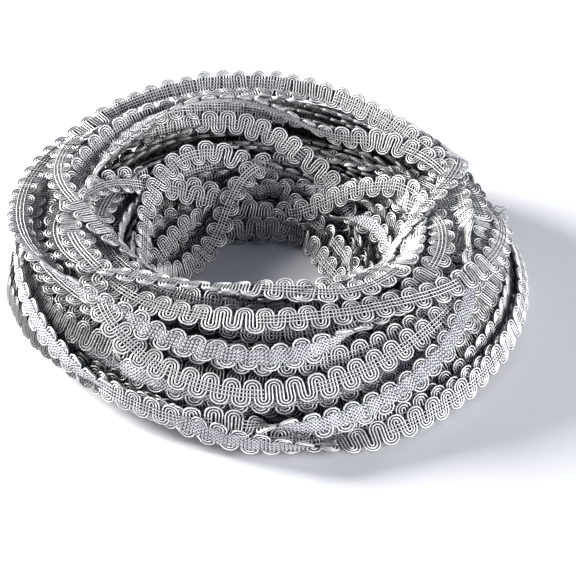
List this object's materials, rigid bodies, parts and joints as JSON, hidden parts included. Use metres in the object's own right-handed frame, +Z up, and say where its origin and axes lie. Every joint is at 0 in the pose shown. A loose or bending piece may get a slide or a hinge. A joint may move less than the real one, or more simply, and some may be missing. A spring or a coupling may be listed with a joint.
{
  "type": "gimp braid trim",
  "caption": "Silver grey gimp braid trim with scalloped edges, wound into a loose round hank that lies flat.",
  "frame": {"origin": "middle of the hank's footprint, on the surface that it lies on", "axes": "+Z up through the open middle, +X right and +Y back as in the picture"},
  "size_m": [0.1952, 0.1913, 0.0457],
  "materials": {
    "braid": "soft metallic silver strands with a pale grey knitted back"
  },
  "bodies": {
    "root": {"hank": "braid"}
  },
  "joints": []
}
